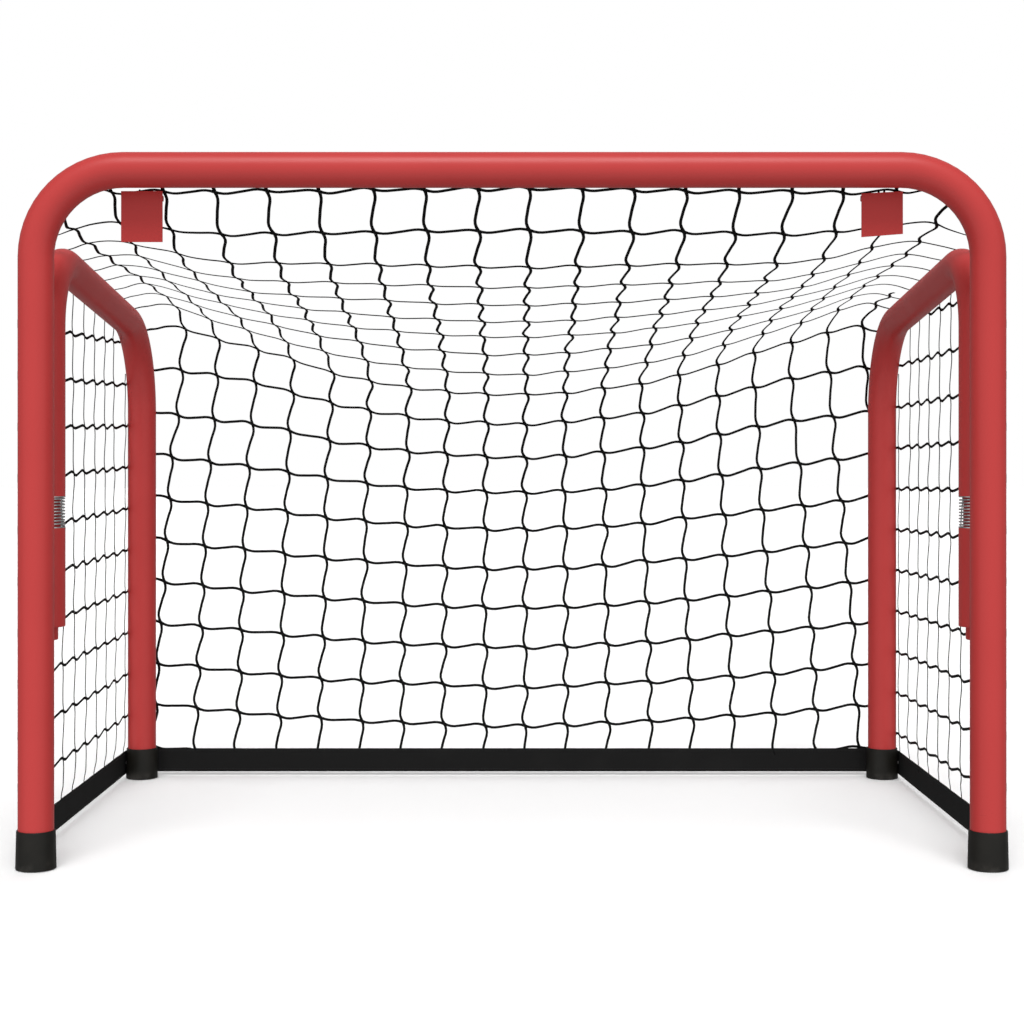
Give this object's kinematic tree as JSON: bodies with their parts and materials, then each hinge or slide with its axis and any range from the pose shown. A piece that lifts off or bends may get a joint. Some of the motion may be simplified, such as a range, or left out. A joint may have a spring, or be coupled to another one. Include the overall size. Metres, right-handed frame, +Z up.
{
  "type": "folding hockey goal",
  "caption": "Folding street hockey goal: bent red tube front frame, two sprung folding side frames, black cord net, webbing base strap and rubber foot caps.",
  "frame": {"origin": "on the floor, under the middle of the goal's box", "axes": "+X along the crossbar, to the right as a shooter sees it; +Y from the mouth to the rear of the net; +Z up"},
  "size_m": [1.068, 0.6111, 0.764],
  "materials": {
    "red_paint": "satin powder coat",
    "tab_paint": "satin powder coat",
    "cap_rubber": "moulded, semi-matte",
    "zinc_steel": "zinc plated",
    "spring_steel": "bright drawn wire",
    "bush_plastic": "natural nylon",
    "clip_plastic": "moulded",
    "net_cord": "braided polyester cord",
    "webbing": "woven webbing"
  },
  "bodies": {
    "front_frame": {"front_frame_tube": "red_paint", "crossbar_net_clips": "clip_plastic", "top_net_panel": "net_cord", "rear_net_panel": "net_cord", "rear_base_strap": "webbing", "left_front_foot_cap": "cap_rubber", "left_hinge_sleeve": "red_paint", "left_sleeve_plates": "red_paint", "left_upper_bush": "bush_plastic", "left_lower_bush": "bush_plastic", "left_post_net_clips": "clip_plastic", "left_tab_rod": "zinc_steel", "left_tab_ties": "net_cord", "left_strap_end": "webbing", "left_front_strap_screw": "zinc_steel", "right_front_foot_cap": "cap_rubber", "right_hinge_sleeve": "red_paint", "right_sleeve_plates": "red_paint", "right_upper_bush": "bush_plastic", "right_lower_bush": "bush_plastic", "right_post_net_clips": "clip_plastic", "right_tab_rod": "zinc_steel", "right_tab_ties": "net_cord", "right_strap_end": "webbing", "right_front_strap_screw": "zinc_steel"},
    "left_spring_stack": {"left_spring_seat": "zinc_steel", "left_hinge_spring": "spring_steel"},
    "left_side_frame": {"left_side_frame_tube": "red_paint", "left_pivot_tube": "red_paint", "left_retaining_pin": "zinc_steel", "left_thrust_washer": "zinc_steel", "left_rear_foot_cap": "cap_rubber", "left_net_panel": "net_cord", "left_base_strap": "webbing", "left_rear_strap_screw": "zinc_steel"},
    "left_tab": {"left_corner_tab": "tab_paint"},
    "right_spring_stack": {"right_spring_seat": "zinc_steel", "right_hinge_spring": "spring_steel"},
    "right_side_frame": {"right_side_frame_tube": "red_paint", "right_pivot_tube": "red_paint", "right_retaining_pin": "zinc_steel", "right_thrust_washer": "zinc_steel", "right_rear_foot_cap": "cap_rubber", "right_net_panel": "net_cord", "right_base_strap": "webbing", "right_rear_strap_screw": "zinc_steel"},
    "right_tab": {"right_corner_tab": "tab_paint"}
  },
  "joints": [
    {"name": "left_fold", "type": "hinge", "parent": "front_frame", "child": "left_spring_stack", "pos_m": [-0.508, -0.23405, 0.3626], "axis": [0, 0, -1], "range_deg": [0, 90], "deforming": ["top_net_panel", "rear_net_panel", "rear_base_strap"]},
    {"name": "left_press_down", "type": "slide", "parent": "left_spring_stack", "child": "left_side_frame", "axis": [0, 0, -1], "range_m": [0, 0.008], "stiffness_N_per_m": 630, "springref_m": -0.032, "deforming": ["left_hinge_spring"]},
    {"name": "left_tab_swing", "type": "hinge", "parent": "front_frame", "child": "left_tab", "pos_m": [-0.39925, -0.25865, 0.718], "axis": [1, 0, 0], "range_deg": [0, 35]},
    {"name": "right_fold", "type": "hinge", "parent": "front_frame", "child": "right_spring_stack", "pos_m": [0.508, -0.23405, 0.3626], "axis": [0, 0, 1], "range_deg": [0, 84]},
    {"name": "right_press_down", "type": "slide", "parent": "right_spring_stack", "child": "right_side_frame", "axis": [0, 0, -1], "range_m": [0, 0.008], "stiffness_N_per_m": 630, "springref_m": -0.032, "deforming": ["right_hinge_spring"]},
    {"name": "right_tab_swing", "type": "hinge", "parent": "front_frame", "child": "right_tab", "pos_m": [0.39925, -0.25865, 0.718], "axis": [1, 0, 0], "range_deg": [0, 35]}
  ]
}
